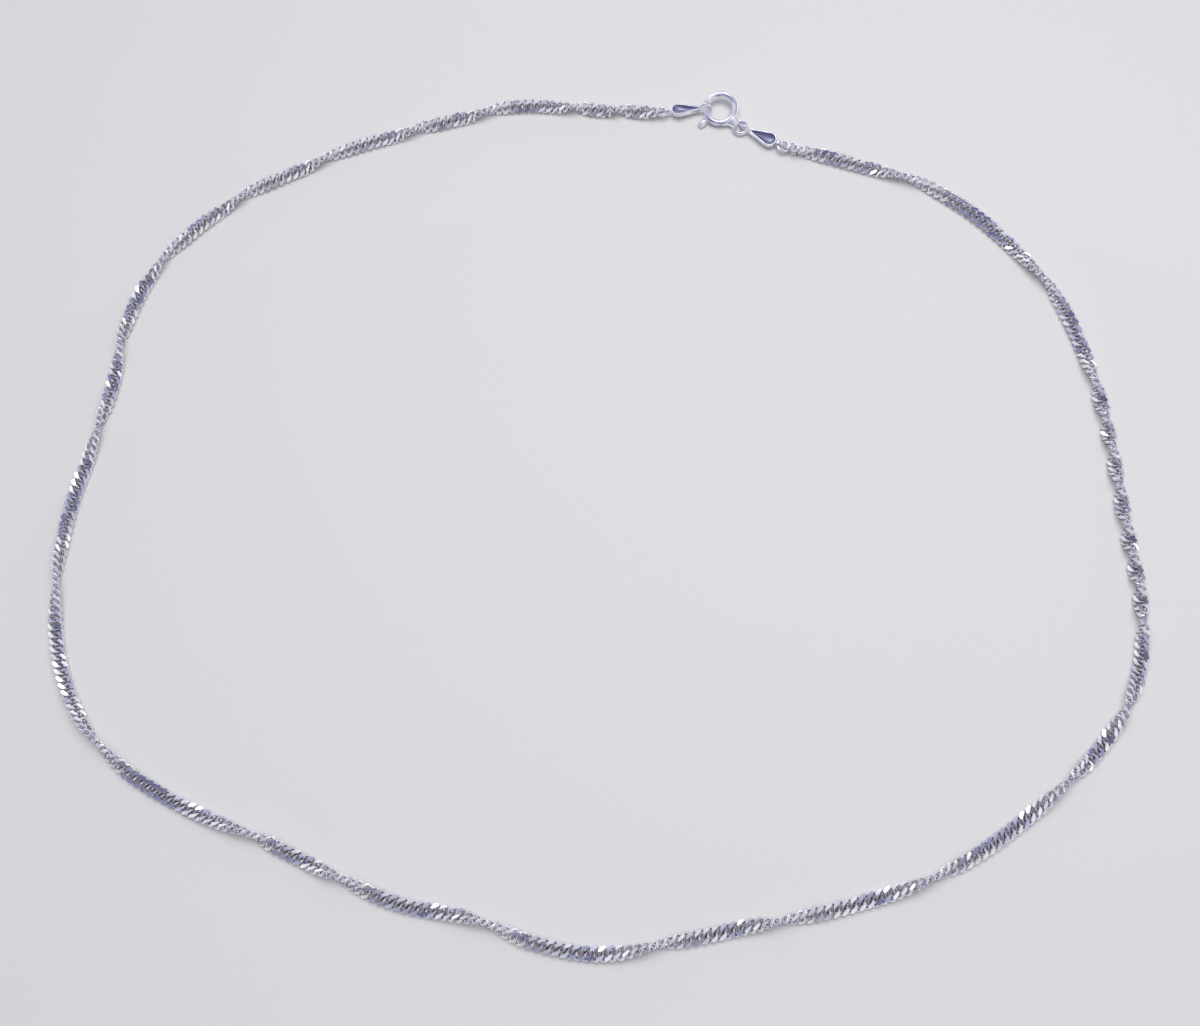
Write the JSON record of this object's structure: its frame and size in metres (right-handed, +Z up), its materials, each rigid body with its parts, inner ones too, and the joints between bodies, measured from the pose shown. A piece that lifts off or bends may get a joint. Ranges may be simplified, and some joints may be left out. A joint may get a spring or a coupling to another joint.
{
  "type": "twisted curb chain necklace",
  "caption": "Fine silver necklace of twisted curb links with bright cut facets, closed by a spring ring between two drop-shaped tags and lying in a loop.",
  "frame": {"origin": "on the surface that the necklace lies on, under the middle of the loop's box", "axes": "+Z up from that surface, +Y from the front of the loop towards the clasp, +X to the right seen from the front and above"},
  "size_m": [0.1532, 0.1312, 0.0023],
  "materials": {
    "chain_silver": "polished silver wire with flat bright cuts",
    "clasp_silver": "polished silver"
  },
  "bodies": {
    "necklace": {"chain": "chain_silver", "end_link_left": "chain_silver", "end_link_right": "chain_silver", "tag_left": "clasp_silver", "tag_right": "clasp_silver", "spring_ring": "clasp_silver"},
    "bolt": {"ring_bolt": "clasp_silver"}
  },
  "joints": [
    {"name": "bolt_slide", "type": "hinge", "parent": "necklace", "child": "bolt", "pos_m": [0.0195, 0.0627, 0.00125], "axis": [-0.0852, -0.2079, 0.9744], "range_deg": [0, 54], "stiffness_Nm_per_rad": 0.004, "springref_deg": -28.65}
  ]
}
